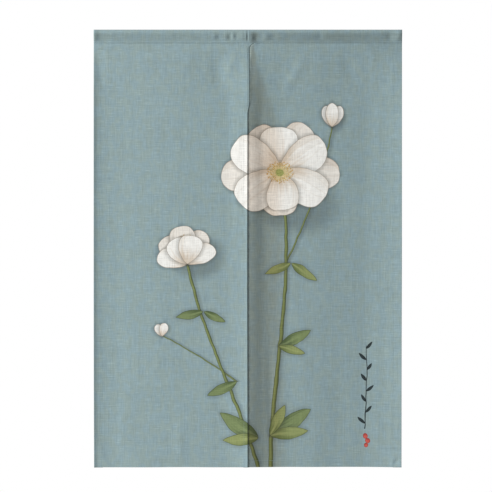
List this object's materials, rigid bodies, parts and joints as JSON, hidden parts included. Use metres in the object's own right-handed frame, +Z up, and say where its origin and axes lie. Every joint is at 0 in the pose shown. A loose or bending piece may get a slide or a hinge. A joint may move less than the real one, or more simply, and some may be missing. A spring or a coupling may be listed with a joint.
{
  "type": "partition curtain",
  "caption": "Doorway partition curtain of linen-look cloth: two panels sewn together at the top and free below, hung by a stitched rod pocket.",
  "frame": {"origin": "the middle of the top edge, where the pole inside the pocket holds the curtain up", "axes": "+Z up; X along the pole; the printed front faces -Y"},
  "size_m": [0.846, 0.0283, 1.2],
  "materials": {
    "left_cloth": "matte plain-weave linen-look cloth, dusty blue-green, with slubs",
    "right_cloth": "matte plain-weave linen-look cloth, dusty blue-green, with slubs",
    "pocket_cloth": "the same cloth, doubled and stitched",
    "thread": "matched sewing thread"
  },
  "bodies": {
    "root": {"left_panel": "left_cloth", "right_panel": "right_cloth", "rod_pocket": "pocket_cloth"}
  },
  "joints": []
}
